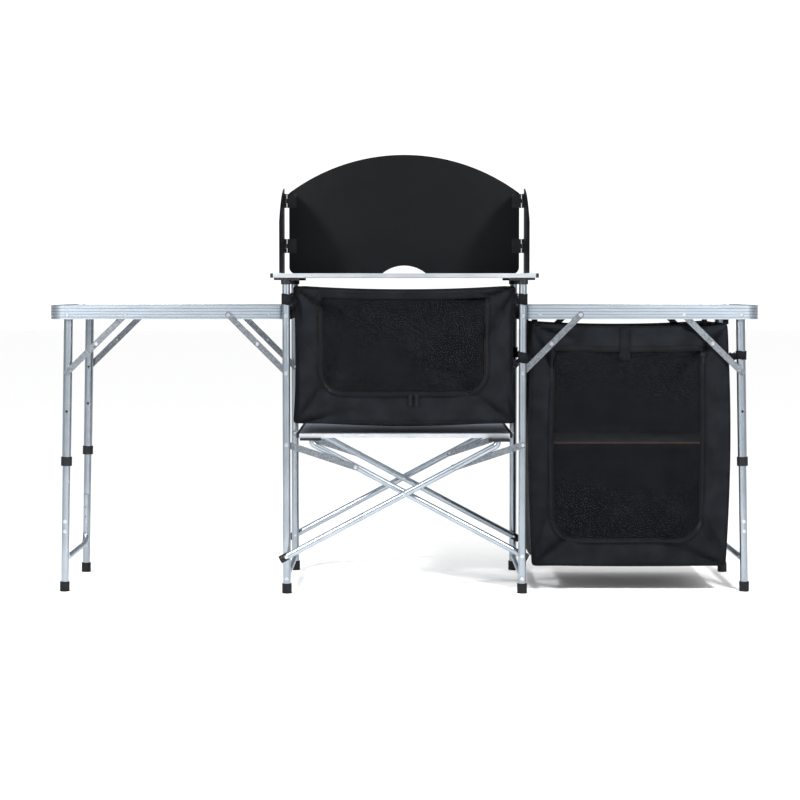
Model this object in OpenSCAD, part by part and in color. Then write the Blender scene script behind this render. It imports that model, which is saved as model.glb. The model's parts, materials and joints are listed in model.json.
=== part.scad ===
/* [Side tables] */
// Distance from the centre line to the outer end of a side table
table_outer_x = 868; // [850:2:900]
// Distance from the centre line to the inner end of a side table
table_inner_x = 278; // [270:1:285]
// Depth of a side table, front to rear
table_depth = 400; // [380:2:440]
// Height of the side table tops above the floor
table_z = 704; // [690:2:730]
// Height of the aluminium rim
rim_h = 34; // [30:1:40]
// Corner radius of the rim
rim_corner = 34; // [20:1:50]

/* [Centre frame] */
// Distance from the centre line to the four centre posts
post_x = 288; // [286:1:295]
// Height of the post tops
post_z = 768; // [760:1:780]
// Outer diameter of a post
post_d = 19; // [18:0.5:20]
// Outer diameter of a scissor tube
scissor_d = 16; // [14:0.5:18]
// Height of the scissor's lower pivots
scissor_low_z = 92; // [80:1:100]
// Height at which the scissor tubes cross
scissor_cross_z = 245; // [235:1:250]

/* [Shelves] */
// Top of the middle shelf
middle_shelf_z = 390; // [386:1:400]
// Length of a middle shelf slat
middle_slat_l = 530; // [500:2:540]
// Top of the upper shelf
upper_shelf_z = 782; // [782:1:796]
// Length of an upper shelf slat
upper_slat_l = 652; // [640:2:680]

/* [Outer legs] */
// Distance from the centre line to a leg's hinge
hinge_x = 823; // [800:1:828]
// Height of a leg's hinge
hinge_z = 681; // [678:1:683]
// Distance from the centre line to an outer foot
outer_foot_x = 838; // [830:1:850]
// Diameter of the upper leg tube
upper_leg_d = 22; // [22:0.5:23]
// Diameter of the lower leg tube
lower_leg_d = 19; // [18:0.5:19]
// Distance of a brace pivot from the leg's hinge
brace_arm = 141; // [125:1:145]

/* [Windscreen] */
// Width of the back panel
panel_w = 604; // [560:2:610]
// Height of the panel's corners above the shelf
panel_corner_h = 212; // [190:1:225]
// Height of the panel's centre above the shelf
panel_centre_h = 312; // [280:1:330]
// Length of a wing, rear to front
wing_l = 250; // [200:2:280]
// Height of a wing
wing_h = 222; // [200:1:240]

/* [Cupboards] */
// Half width of the centre cupboard
centre_cupboard_x = 274; // [250:1:275]
// Bottom of the centre cupboard
centre_cupboard_z = 414; // [410:1:430]
// Height of the centre cupboard
centre_cupboard_h = 338; // [300:1:340]
// Inner side of the right cupboard
right_cupboard_x = 303; // [301:1:320]
// Width of the right cupboard
right_cupboard_w = 499; // [450:1:500]
// Bottom of the right cupboard
right_cupboard_z = 62; // [60:1:100]
// Height of the right cupboard
right_cupboard_h = 600; // [540:1:602]

/* [Hidden] */
$fn = 48;

gap = 0.3;              // between curved faces that must not touch
strap_t = 1.8;          // thickness of a galvanised strap
strap_w = 15;           // width of a brace strap
link_w = 16;            // width of a scissor link
rivet_r = 2.5;
rivet_head_r = 5;
rivet_head_h = 1.2;
rivet_fn = 20;
head_lift = 1.5;        // from the outer face of a tube to the top of a rivet's head
tail = 1;               // rivet past the last wall it joins
hole_gap = 0.1;         // between a rivet and the hole it fills
tube_wall = 1.2;

// Depth positions, measured outward from the rim's outer face
rim_y = table_depth / 2;
rim_wall = 2.5;
post_y = rim_y + 14.5;
outer_leg_y = rim_y - 20;
scissor_inner_y = rim_y - 5.6;
scissor_outer_y = rim_y + 34.6;

// Posts and shelves
foot_h = 24;
foot_floor = 4;
foot_r = 12;
stretcher_z = 36;
stretcher_d = 12;
table_pivot_z = table_z - 25;
brace_post_z = table_z - 165;
link_post_z = 364;
brace_rim_x = post_x + 142;
brace_rim_z = table_pivot_z + 2;
brace_knee_x = (brace_rim_x + post_x) / 2;
brace_knee_z = (brace_rim_z + brace_post_z) / 2;
hinge_plate_x = post_x + 42;
scissor_slope = (scissor_cross_z - scissor_low_z) / post_x;
scissor_angle = atan(scissor_slope);
link_x = 119.6;
link_z = scissor_cross_z + link_x * scissor_slope;
bend_r = 14;
slat_t = 10.5;
slat_gap = 2;
slat_wall = 1.4;
middle_slats = 7;
middle_slat_w = 54;
upper_slats = 8;
upper_slat_w = 55;
end_cap_l = 7;
rail_h = 6;
rail_w = 26;
rail_bottom_z = middle_shelf_z - slat_t - rail_h;
bend_start_z = rail_bottom_z - bend_r * cos(scissor_angle);
bend_start_x = (bend_start_z - scissor_cross_z) / scissor_slope;
bend_end_x = bend_start_x + bend_r * (1 - sin(scissor_angle));
scissor_tail = 14;      // tube past the lower pivot

// Outer legs
splay = atan((outer_foot_x - hinge_x) / hinge_z);
leg_l = norm([outer_foot_x - hinge_x, hinge_z]);
upper_leg_l = 367;
leg_top = 6;            // tube above the hinge
sleeve_overlap = 70;    // lower tube inside the upper one
collar_l = 22;
u_bar_d = 14;
u_bar_y = outer_leg_y - lower_leg_d / 2 - u_bar_d / 2 - 0.3;
u_bar_top = leg_l - 205;
u_bar_low = leg_l - 78;
u_bend_r = 30;
u_bar_rivets = [-u_bar_top - 32, -u_bar_top - 56];
brace_stack = 5.6;      // from the rim to the top of a rivet over both inner braces
brace_l = brace_arm * sin(45 + splay / 2);
brace_angle = 45 - splay / 2;
brace_lower_y = outer_leg_y + 11.8;
brace_upper_y = brace_lower_y + strap_t + 0.1;

// Windscreen
sheet_t = 1.2;
screen_z = upper_shelf_z + 0.3;
hinge_axis_x = panel_w / 2 + 9;
hinge_axis_y = rim_y + 6;
knuckle_r = 3;
pin_r = 1.2;
hinge_h = 37;
leaf_w = 24;
leaf_heights = [55, 173];
arc_r = (pow(panel_w / 2, 2) + pow(panel_centre_h - panel_corner_h, 2))
        / (2 * (panel_centre_h - panel_corner_h));

// Cupboards
cloth_t = 1.6;
inner_shelf_z = 364;    // underside of the board in the right cupboard
inner_shelf_t = 4;
band_h = 26;            // height of a strap round a post
leg_band_h = 20;
centre_band_z = 706;
right_band_z = 564;
leg_band_z = 572;
left_pull_x = 14;
right_pull_x = 30;
centre_pull_z = 485;
shelf_pull_x = 731;
shelf_pull_z = 588;
cupboard_y = rim_y - 13;
centre_cupboard_y = rim_y - 10;

// A hollow tube standing on z0 and reaching z1
module pipe(d, z0, z1, wall = tube_wall) {
    translate([0, 0, z0]) difference() {
        cylinder(d = d, h = z1 - z0);
        translate([0, 0, -1]) cylinder(d = d - 2 * wall, h = z1 - z0 + 2);
    }
}

// A pin along Y from y0 to y1 at [x, z]
module y_pin(p, r, y0, y1) {
    translate([p[0], y0, p[1]]) rotate([-90, 0, 0]) cylinder(r = r, h = y1 - y0);
}

// A rivet along Y with its low head in front, at y0
module rivet(p, y0, y1) {
    translate([p[0], y0, p[1]]) rotate([-90, 0, 0]) rotate_extrude($fn = rivet_fn)
        polygon([[0, 0], [rivet_head_r - 1, 0], [rivet_head_r, rivet_head_h],
                 [rivet_r, rivet_head_h], [rivet_r, y1 - y0], [0, y1 - y0]]);
}

// A flat strap with round, drilled ends between two [x, z] points
module strap(p, q, y, w = strap_w, hole = rivet_r + gap) {
    length = norm(q - p);
    translate([p[0], y, p[1]])
    rotate([0, -atan2(q[1] - p[1], q[0] - p[0]), 0])
    difference() {
        union() {
            rotate([-90, 0, 0]) cylinder(d = w, h = strap_t);
            translate([length, 0, 0]) rotate([-90, 0, 0]) cylinder(d = w, h = strap_t);
            translate([0, 0, -w / 2]) cube([length, strap_t, w]);
        }
        translate([0, -1, 0]) rotate([-90, 0, 0]) cylinder(r = hole, h = strap_t + 2);
        translate([length, -1, 0]) rotate([-90, 0, 0]) cylinder(r = hole, h = strap_t + 2);
    }
}

// Children at the front and mirrored to the rear
module front_and_rear() {
    children();
    mirror([0, 1, 0]) children();
}

// Children drawn for the right side, mirrored for the left one
module on_side(side) {
    if (side > 0) children();
    else mirror([1, 0, 0]) children();
}

module rounded_rect(w, d, r) {
    square([w - 2 * r, d], center = true);
    square([w, d - 2 * r], center = true);
    for (x = [-1, 1], y = [-1, 1])
        translate([x * (w / 2 - r), y * (d / 2 - r)]) circle(r = r);
}

// ---- Centre frame ----

module post(x_side, y_side) {
    color("silver")
    translate([x_side * post_x, y_side * post_y, 0])
        difference() {
            pipe(post_d, foot_floor, post_z);
            for (z = [table_pivot_z, brace_post_z, link_post_z, scissor_low_z, stretcher_z])
                translate([0, -post_d, z]) rotate([-90, 0, 0])
                    cylinder(r = rivet_r + hole_gap, h = 2 * post_d);
        }
}

module post_feet() {
    color("black")
    for (x = [-1, 1], y = [-1, 1])
        translate([x * post_x, y * post_y, 0]) difference() {
            cylinder(r = foot_r, h = foot_h);
            translate([0, 0, foot_floor]) cylinder(d = post_d + 0.1, h = foot_h);
        }
}

module stretcher(side) {
    color("silver")
    translate([side * post_x, -post_y + post_d / 2 + gap, stretcher_z])
        rotate([-90, 0, 0])
            pipe(stretcher_d, 0, 2 * (post_y - post_d / 2 - gap));
}

// One scissor tube from its lower left pivot up to the right, bent upright at the top
module scissor_tube(y) {
    color("silver") translate([0, y, 0]) {
        difference() {
            translate([0, 0, scissor_cross_z]) rotate([0, 90 - scissor_angle, 0])
                pipe(scissor_d, -post_x / cos(scissor_angle) - scissor_tail,
                     bend_start_x / cos(scissor_angle) + 1);
            for (p = [[-post_x, scissor_low_z], [0, scissor_cross_z], [link_x, link_z]])
                y_pin(p, rivet_r + hole_gap, -scissor_d, scissor_d);
        }
        translate([bend_start_x - bend_r * sin(scissor_angle), 0,
                   bend_start_z + bend_r * cos(scissor_angle)])
            rotate([90, 0, 0]) rotate([0, 0, scissor_angle - 90])
                rotate_extrude(angle = 90 - scissor_angle)
                    translate([bend_r, 0]) circle(d = scissor_d + 0.2);
    }
}

module front_scissor_outer() scissor_tube(-scissor_outer_y);
module front_scissor_inner() mirror([1, 0, 0]) scissor_tube(-scissor_inner_y);
module rear_scissor_outer() scissor_tube(scissor_outer_y);
module rear_scissor_inner() mirror([1, 0, 0]) scissor_tube(scissor_inner_y);

module scissor_end_cap(y) {
    end = post_x / cos(scissor_angle) + scissor_tail;
    translate([0, y, scissor_cross_z]) rotate([0, 90 - scissor_angle, 0])
        translate([0, 0, -end - 3]) difference() {
            cylinder(d = scissor_d + 3, h = 20);
            translate([0, 0, 3]) cylinder(d = scissor_d + 0.1, h = 20);
            translate([0, -scissor_d, 3 + scissor_tail]) rotate([-90, 0, 0])
                cylinder(r = rivet_head_r + 0.3, h = 2 * scissor_d);
        }
}

module scissor_end_caps() {
    color("black") front_and_rear() {
        scissor_end_cap(-scissor_outer_y);
        mirror([1, 0, 0]) scissor_end_cap(-scissor_inner_y);
    }
}

// The inner tube's link lies behind its post and the outer tube's link before its post
module link_straps() {
    color("gainsboro") front_and_rear() {
        strap([-post_x, link_post_z], [-link_x, link_z],
              -post_y + post_d / 2 + gap, link_w, rivet_r + hole_gap);
        strap([post_x, link_post_z], [link_x, link_z],
              -post_y - post_d / 2 - gap - strap_t, link_w, rivet_r + hole_gap);
    }
}

module frame_fasteners() {
    post_front = -post_y - post_d / 2;
    post_back = -post_y + post_d / 2;
    rim_back = -rim_y + rim_wall + tail;
    scissor_front = -scissor_outer_y - scissor_d / 2 - head_lift;
    scissor_back = -scissor_inner_y + scissor_d / 2 + tail;
    strap_front = post_front - strap_t - gap - head_lift;
    color("silver") front_and_rear() {
        for (side = [-1, 1]) {
            // table pivot, brace and stretcher rivets of each post
            rivet([side * post_x, table_pivot_z], post_front - head_lift, rim_back);
            rivet([side * post_x, brace_post_z], post_front - head_lift, -rim_y);
            rivet([side * post_x, stretcher_z], post_front - head_lift, post_back - tail);
            // rim rivets over the inner braces, the hinge plates and the leg braces
            rivet([side * brace_rim_x, brace_rim_z], -rim_y - brace_stack, rim_back);
            rivet([side * hinge_plate_x, brace_rim_z], -rim_y - head_lift, rim_back);
            rivet([side * (hinge_x - brace_arm), hinge_z], -rim_y - head_lift,
                  -brace_upper_y + 0.2);
            rivet([side * hinge_x, hinge_z], -rim_y - head_lift,
                  -outer_leg_y + upper_leg_d / 2 + tail);
            // the knees of the inner braces
            rivet([side * brace_knee_x, brace_knee_z], -rim_y - brace_stack, -rim_y - 0.1);
        }
        rivet([-post_x, link_post_z], post_front - head_lift, -scissor_inner_y - 4);
        rivet([post_x, link_post_z], strap_front, post_back + tail);
        rivet([-post_x, scissor_low_z], scissor_front, post_back + tail);
        rivet([post_x, scissor_low_z], post_front - head_lift, scissor_back);
        rivet([0, scissor_cross_z], scissor_front, scissor_back);
        rivet([-link_x, link_z], -scissor_inner_y - scissor_d / 2 - 4.4, -scissor_inner_y);
        rivet([link_x, link_z], strap_front, -scissor_outer_y);
        // the bush that keeps the crossed tubes apart
        translate([0, -scissor_outer_y + scissor_d / 2 + 0.05, scissor_cross_z])
            rotate([-90, 0, 0])
                pipe(13, 0, scissor_outer_y - scissor_inner_y - scissor_d - 0.1, 3.9);
    }
}

module inner_braces(side) {
    lower_y = -rim_y - 0.3 - strap_t;
    upper_y = lower_y - 0.2 - strap_t;
    knee = [side * brace_knee_x, brace_knee_z];
    color("gainsboro") front_and_rear() {
        strap([side * brace_rim_x, brace_rim_z], knee, upper_y, strap_w, rivet_r + hole_gap);
        strap(knee, [side * post_x, brace_post_z], lower_y, strap_w, rivet_r + hole_gap);
    }
}

// ---- Shelves ----

// One hollow slat along X, its middle at [0, y] and its top at z
module slat(length, y, w, z) {
    translate([-length / 2, y - w / 2, z - slat_t]) difference() {
        cube([length, w, slat_t]);
        translate([-1, slat_wall, slat_wall])
            cube([length + 2, w - 2 * slat_wall, slat_t - 2 * slat_wall]);
    }
}

function slat_y(i, count, w) = (i - (count - 1) / 2) * (w + slat_gap);

module end_caps(length, y, w, z) {
    for (side = [-1, 1]) on_side(side)
        translate([length / 2, y - w / 2, z - slat_t]) cube([end_cap_l, w, slat_t]);
}

module middle_shelf_slats() {
    color("silver") for (i = [0:middle_slats - 1])
        slat(middle_slat_l - 2 * end_cap_l, slat_y(i, middle_slats, middle_slat_w),
             middle_slat_w, middle_shelf_z);
}

module middle_shelf_end_caps() {
    color("black") for (i = [0:middle_slats - 1])
        end_caps(middle_slat_l - 2 * end_cap_l, slat_y(i, middle_slats, middle_slat_w),
                 middle_slat_w, middle_shelf_z);
}

// A rail under the slats on each side, with a socket block over each bent scissor end
module middle_shelf_rails() {
    block_w = 52;
    slats_y = slat_y(middle_slats - 1, middle_slats, middle_slat_w) + middle_slat_w / 2;
    color("black") for (side = [-1, 1]) {
        translate([side * bend_end_x - rail_w / 2, -slats_y, rail_bottom_z])
            cube([rail_w, 2 * slats_y, rail_h]);
        reach = side > 0 ? scissor_outer_y : scissor_inner_y;
        front_and_rear()
            translate([side * (bend_end_x + 4) - block_w / 2, -reach - 10, rail_bottom_z])
                cube([block_w, reach + 10 - slats_y + 16, rail_h - 0.05]);
    }
}

module upper_shelf_slats() {
    color("silver") for (i = [0:upper_slats - 1])
        slat(upper_slat_l - 2 * end_cap_l, slat_y(i, upper_slats, upper_slat_w),
             upper_slat_w, upper_shelf_z);
}

module upper_shelf_end_caps() {
    color("black") for (i = [0:upper_slats - 1])
        end_caps(upper_slat_l - 2 * end_cap_l, slat_y(i, upper_slats, upper_slat_w),
                 upper_slat_w, upper_shelf_z);
}

// A rail over each pair of posts, with a round socket that drops over each post
module upper_shelf_rails() {
    top = upper_shelf_z - slat_t;
    socket_h = 16;
    block_w = 58;
    color("black") for (side = [-1, 1]) difference() {
        union() {
            translate([side * post_x - rail_w / 2, -post_y, top - rail_h])
                cube([rail_w, 2 * post_y, rail_h]);
            for (y = [-1, 1]) {
                translate([side * post_x - block_w / 2, y * post_y - foot_r, top - rail_h])
                    cube([block_w, 2 * foot_r, rail_h]);
                translate([side * post_x, y * post_y, top - socket_h])
                    cylinder(d = post_d + 6, h = socket_h);
            }
        }
        for (y = [-1, 1]) translate([side * post_x, y * post_y, top - socket_h - 1])
            cylinder(r = post_d / 2 + gap, h = socket_h - 2);
    }
}

// ---- Side tables ----

module table_centred() {
    translate([(table_outer_x + table_inner_x) / 2, 0, 0]) children();
}

module table_rim(side) {
    length = table_outer_x - table_inner_x;
    lip = 6;
    groove = 0.8;
    color("silver") on_side(side) table_centred() difference() {
        union() {
            // the outer wall
            translate([0, 0, table_z - rim_h]) linear_extrude(rim_h) difference() {
                rounded_rect(length, table_depth, rim_corner);
                rounded_rect(length - 2 * rim_wall, table_depth - 2 * rim_wall,
                             rim_corner - rim_wall);
            }
            // the lip over the panel and the ledge under it
            for (z = [table_z - 2, table_z - 9.5])
                translate([0, 0, z]) linear_extrude(1.5) difference() {
                    rounded_rect(length - 2 * rim_wall, table_depth - 2 * rim_wall,
                                 rim_corner - rim_wall);
                    rounded_rect(length - 2 * lip, table_depth - 2 * lip,
                                 rim_corner - lip);
                }
        }
        // two long grooves round the outer face
        for (z = [table_z - 9, table_z - rim_h + 5])
            translate([0, 0, z]) linear_extrude(2.5) difference() {
                rounded_rect(length + 2, table_depth + 2, rim_corner + 1);
                rounded_rect(length - 2 * groove, table_depth - 2 * groove,
                             rim_corner - groove);
            }
        for (x = [hinge_x, hinge_x - brace_arm])
            table_hole(x, hinge_z);
        for (x = [brace_rim_x, hinge_plate_x])
            table_hole(x, brace_rim_z);
        table_hole(post_x, table_pivot_z);
    }
}

// A rivet hole through both long sides of a rim
module table_hole(x, z) {
    translate([x - (table_outer_x + table_inner_x) / 2, 0, 0])
        y_pin([0, z], rivet_r + hole_gap, -table_depth, table_depth);
}

module table_top(side) {
    inset = rim_wall + 0.4;
    color("lightgray") on_side(side) table_centred()
        translate([0, 0, table_z - 8]) linear_extrude(6)
            rounded_rect(table_outer_x - table_inner_x - 2 * inset,
                         table_depth - 2 * inset, rim_corner - inset);
}

// ---- Outer legs, drawn on the right with the hinge as the top of the leg's axis ----

module along_leg(side, y = 0) {
    on_side(side) translate([hinge_x, y, hinge_z]) rotate([0, -splay, 0]) children();
}

module upper_leg(side, y_side) {
    color("silver") along_leg(side, y_side * outer_leg_y) difference() {
        pipe(upper_leg_d, -upper_leg_l, leg_top);
        for (z = [0, -brace_arm])
            translate([0, -upper_leg_d, z]) rotate([-90, 0, 0])
                cylinder(r = rivet_r + gap, h = 2 * upper_leg_d);
        // the holes that the spring buttons would click into
        for (z = [-upper_leg_l + 60, -upper_leg_l + 130])
            translate([0, -upper_leg_d, z]) rotate([-90, 0, 0])
                cylinder(r = 3, h = upper_leg_d);
    }
}

module leg_collars(side) {
    color("black") for (y = [-1, 1]) along_leg(side, y * outer_leg_y) {
        translate([0, 0, -upper_leg_l - 4]) difference() {
            cylinder(d = upper_leg_d + 5, h = collar_l);
            translate([0, 0, 4]) cylinder(d = upper_leg_d + 0.1, h = collar_l);
            translate([0, 0, -1]) cylinder(r = lower_leg_d / 2 + gap, h = collar_l);
        }
    }
}

module lower_leg(side, y_side) {
    color("silver") along_leg(side, y_side * outer_leg_y) difference() {
        pipe(lower_leg_d, -leg_l + foot_floor + 1, -upper_leg_l + sleeve_overlap);
        for (z = u_bar_rivets)
            y_pin([0, z], rivet_r + hole_gap, -lower_leg_d, lower_leg_d);
    }
}

// Two upright ends beside the lower legs, joined by a low bar
module u_bar(side) {
    straight = 2 * (u_bar_y - u_bend_r);
    overlap = 1;
    color("silver") along_leg(side) {
        for (y = [-1, 1]) difference() {
            translate([0, y * u_bar_y, 0])
                cylinder_between(u_bar_d, -u_bar_low + u_bend_r - overlap, -u_bar_top);
            for (z = u_bar_rivets)
                y_pin([0, z], rivet_r + hole_gap, -table_depth, table_depth);
        }
        translate([0, -straight / 2 - overlap, -u_bar_low]) rotate([-90, 0, 0])
            cylinder_between(u_bar_d, 0, straight + 2 * overlap);
        front_and_rear() translate([0, -u_bar_y + u_bend_r, -u_bar_low + u_bend_r])
            rotate([0, 90, 0]) rotate([0, 0, -90])
                rotate_extrude(angle = 90) translate([u_bend_r, 0]) circle(d = u_bar_d + 0.2);
    }
}

module cylinder_between(d, z0, z1) {
    translate([0, 0, z0]) cylinder(d = d, h = z1 - z0);
}

module leg_feet(side) {
    color("black") intersection() {
        for (y = [-1, 1]) along_leg(side, y * outer_leg_y)
            translate([0, 0, -leg_l - 3]) difference() {
                cylinder(r = foot_r, h = foot_h + 3);
                translate([0, 0, foot_floor + 4]) cylinder(d = lower_leg_d + 0.1, h = foot_h);
            }
        translate([-2 * hinge_x, -table_depth, 0]) cube([4 * hinge_x, 2 * table_depth, 100]);
    }
}

// The pairs of rivets that hold the U bar's ends to the lower legs
module leg_rivets(side) {
    color("silver") front_and_rear() along_leg(side)
        for (z = u_bar_rivets)
            rivet([0, z], -outer_leg_y - lower_leg_d / 2 - head_lift, -u_bar_y - tail);
}

module brace_upper_straps(side) {
    rim_end = [hinge_x - brace_arm, hinge_z];
    color("gainsboro") front_and_rear() on_side(side)
        strap(rim_end, brace_knee(), -brace_upper_y - strap_t);
}

module brace_lower_straps(side) {
    color("gainsboro") front_and_rear() on_side(side) {
        strap(brace_knee(), brace_foot(), -brace_lower_y - strap_t);
        rivet(brace_foot(), -brace_lower_y - strap_t - rivet_head_h, -brace_lower_y);
    }
}

function brace_knee() =
    [hinge_x - brace_arm + brace_l * cos(brace_angle), hinge_z - brace_l * sin(brace_angle)];
function brace_foot() =
    [hinge_x + brace_arm * sin(splay), hinge_z - brace_arm * cos(splay)];

// The knee rivets, held by the upper straps
module brace_rivets(side) {
    color("silver") front_and_rear() on_side(side)
        rivet(brace_knee(), -brace_upper_y - strap_t - rivet_head_h, -brace_lower_y + 0.4);
}

// ---- Windscreen ----

// A sheet in the XZ plane whose front face is at y
module upright_sheet(y) {
    translate([0, y + sheet_t, screen_z]) rotate([90, 0, 0]) linear_extrude(sheet_t)
        children();
}

module windscreen_panel() {
    corner = 18;
    notch_w = 118;
    notch_h = 22;
    notch_r = (pow(notch_w / 2, 2) + pow(notch_h, 2)) / (2 * notch_h);
    color("black") upright_sheet(hinge_axis_y + 2.2) difference() {
        intersection() {
            translate([0, panel_centre_h - arc_r]) circle(r = arc_r, $fn = 160);
            union() {
                translate([-panel_w / 2, corner])
                    square([panel_w, panel_centre_h]);
                translate([-panel_w / 2 + corner, 0])
                    square([panel_w - 2 * corner, panel_centre_h]);
                for (x = [-1, 1]) translate([x * (panel_w / 2 - corner), corner])
                    circle(r = corner);
            }
        }
        translate([0, notch_h - notch_r]) circle(r = notch_r, $fn = 120);
    }
}

// Knuckles of a hinge round the Z axis: the middle one, or the two outer ones
module knuckles(middle, bore) {
    third = hinge_h / 3;
    for (z = middle ? [third] : [0, 2 * third])
        translate([0, 0, z + 0.15]) difference() {
            cylinder(r = knuckle_r, h = third - 0.3);
            translate([0, 0, -1]) cylinder(r = bore, h = third + 1);
        }
}

// The panel's hinge leaves with the middle knuckles and the pins
module windscreen_hinges() {
    third = hinge_h / 3;
    color("dimgray") for (side = [-1, 1], h = leaf_heights) on_side(side)
        translate([hinge_axis_x, hinge_axis_y, screen_z + h]) {
            translate([-leaf_w - 4, 1, 0]) cube([leaf_w, sheet_t, hinge_h]);
            translate([-5, 1, third + 0.15]) cube([4, sheet_t, third - 0.3]);
            knuckles(true, pin_r - 0.2);
            cylinder(r = pin_r, h = hinge_h);
        }
}

module wing(side) {
    third = hinge_h / 3;
    top_r = 380;        // the top edge is one arc that falls towards the front
    color("black") on_side(side) translate([hinge_axis_x, hinge_axis_y, 0]) {
        translate([2.2, 0, screen_z + 1.5]) rotate([90, 0, 90]) linear_extrude(sheet_t)
            intersection() {
                translate([-wing_l, 0]) square([wing_l - 4, wing_h]);
                translate([0, wing_h - top_r]) circle(r = top_r, $fn = 160);
            }
        for (h = leaf_heights) translate([0, 0, screen_z + h]) {
            translate([1, -leaf_w - 4, 0]) cube([sheet_t, leaf_w, hinge_h]);
            for (z = [0, 2 * third])
                translate([1, -5, z + 0.15]) cube([sheet_t, 4, third - 0.3]);
            knuckles(false, pin_r + 0.08);
        }
    }
}

// ---- Cupboards ----

// A closed cloth box with upright rounded corners, from [x0, z0]
module cloth_box(x0, w, half_y, z0, h) {
    corner = 12;
    difference() {
        translate([x0 + w / 2, 0, z0]) linear_extrude(h)
            rounded_rect(w, 2 * half_y, corner);
        translate([x0 + w / 2, 0, z0 + cloth_t]) linear_extrude(h - 2 * cloth_t)
            rounded_rect(w - 2 * cloth_t, 2 * (half_y - cloth_t), corner - cloth_t);
    }
}

module centre_cupboard() {
    color("#1c2028") cloth_box(-centre_cupboard_x, 2 * centre_cupboard_x,
                               centre_cupboard_y, centre_cupboard_z, centre_cupboard_h);
}

module right_cupboard() {
    color("#1c2028") cloth_box(right_cupboard_x, right_cupboard_w, cupboard_y,
                               right_cupboard_z, right_cupboard_h);
}

module right_cupboard_shelf() {
    margin = cloth_t + 4;
    color("#15181e")
        translate([right_cupboard_x + margin, -cupboard_y + margin, inner_shelf_z])
            cube([right_cupboard_w - 2 * margin, 2 * (cupboard_y - margin), inner_shelf_t]);
}

// A cloth band round an upright tube
module band(x, y, r, z, h) {
    translate([x, y, z]) difference() {
        cylinder(r = r + cloth_t, h = h);
        translate([0, 0, -1]) cylinder(r = r, h = h + 2);
    }
}

module centre_cupboard_straps() {
    color("#15181e") for (x = [-1, 1], y = [-1, 1])
        band(x * post_x, y * post_y, post_d / 2 + gap, centre_band_z, band_h);
}

module right_cupboard_straps() {
    leg_x = hinge_x + (hinge_z - leg_band_z - leg_band_h / 2) * tan(splay);
    color("#15181e") for (y = [-1, 1]) {
        band(post_x, y * post_y, post_d / 2 + gap, right_band_z, band_h);
        band(leg_x, y * outer_leg_y, upper_leg_d / 2 + 0.8, leg_band_z, leg_band_h);
    }
}

// A zip slider with its hanging tab, its back at y and its top at z
module zip_pull(x, y, z) {
    color("dimgray") {
        translate([x - 4, y - 3, z - 9]) cube([8, 3, 9]);
        translate([x - 2.5, y - 2.5, z - 26]) cube([5, 1.5, 18]);
    }
}

module centre_pull(x) zip_pull(x, -centre_cupboard_y - gap, centre_pull_z);
module right_pull() zip_pull(shelf_pull_x, -cupboard_y - gap, shelf_pull_z);

post(-1, -1);  // front_left_post
post(1, -1);  // front_right_post
post(-1, 1);  // rear_left_post
post(1, 1);  // rear_right_post
stretcher(-1);  // left_stretcher
stretcher(1);  // right_stretcher
post_feet();
frame_fasteners();
front_scissor_outer();
front_scissor_inner();
rear_scissor_outer();
rear_scissor_inner();
scissor_end_caps();
link_straps();
middle_shelf_slats();
middle_shelf_end_caps();
middle_shelf_rails();
table_rim(-1);  // left_table_rim
table_rim(1);  // right_table_rim
table_top(-1);  // left_table_top
table_top(1);  // right_table_top
inner_braces(-1);  // left_inner_braces
inner_braces(1);  // right_inner_braces
centre_cupboard();
centre_cupboard_straps();
right_cupboard();
right_cupboard_shelf();
right_cupboard_straps();
centre_pull(left_pull_x);  // left_zip_pull
centre_pull(right_pull_x);  // right_zip_pull
right_pull();  // cupboard_zip_pull
upper_leg(-1, -1);  // left_front_upper_leg
upper_leg(-1, 1);  // left_rear_upper_leg
leg_collars(-1);  // left_leg_collars
lower_leg(-1, -1);  // left_front_lower_leg
lower_leg(-1, 1);  // left_rear_lower_leg
u_bar(-1);  // left_u_bar
leg_feet(-1);  // left_feet
leg_rivets(-1);  // left_leg_rivets
brace_upper_straps(-1);  // left_brace_upper_straps
brace_lower_straps(-1);  // left_brace_lower_straps
brace_rivets(-1);  // left_brace_rivets
upper_leg(1, -1);  // right_front_upper_leg
upper_leg(1, 1);  // right_rear_upper_leg
leg_collars(1);  // right_leg_collars
lower_leg(1, -1);  // right_front_lower_leg
lower_leg(1, 1);  // right_rear_lower_leg
u_bar(1);  // right_u_bar
leg_feet(1);  // right_feet
leg_rivets(1);  // right_leg_rivets
brace_upper_straps(1);  // right_brace_upper_straps
brace_lower_straps(1);  // right_brace_lower_straps
brace_rivets(1);  // right_brace_rivets
upper_shelf_slats();
upper_shelf_end_caps();
upper_shelf_rails();
windscreen_panel();
windscreen_hinges();
wing(-1);  // left_wing
wing(1);  // right_wing
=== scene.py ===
import json
import math

import bmesh
import bpy
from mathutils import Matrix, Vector, noise


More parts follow.
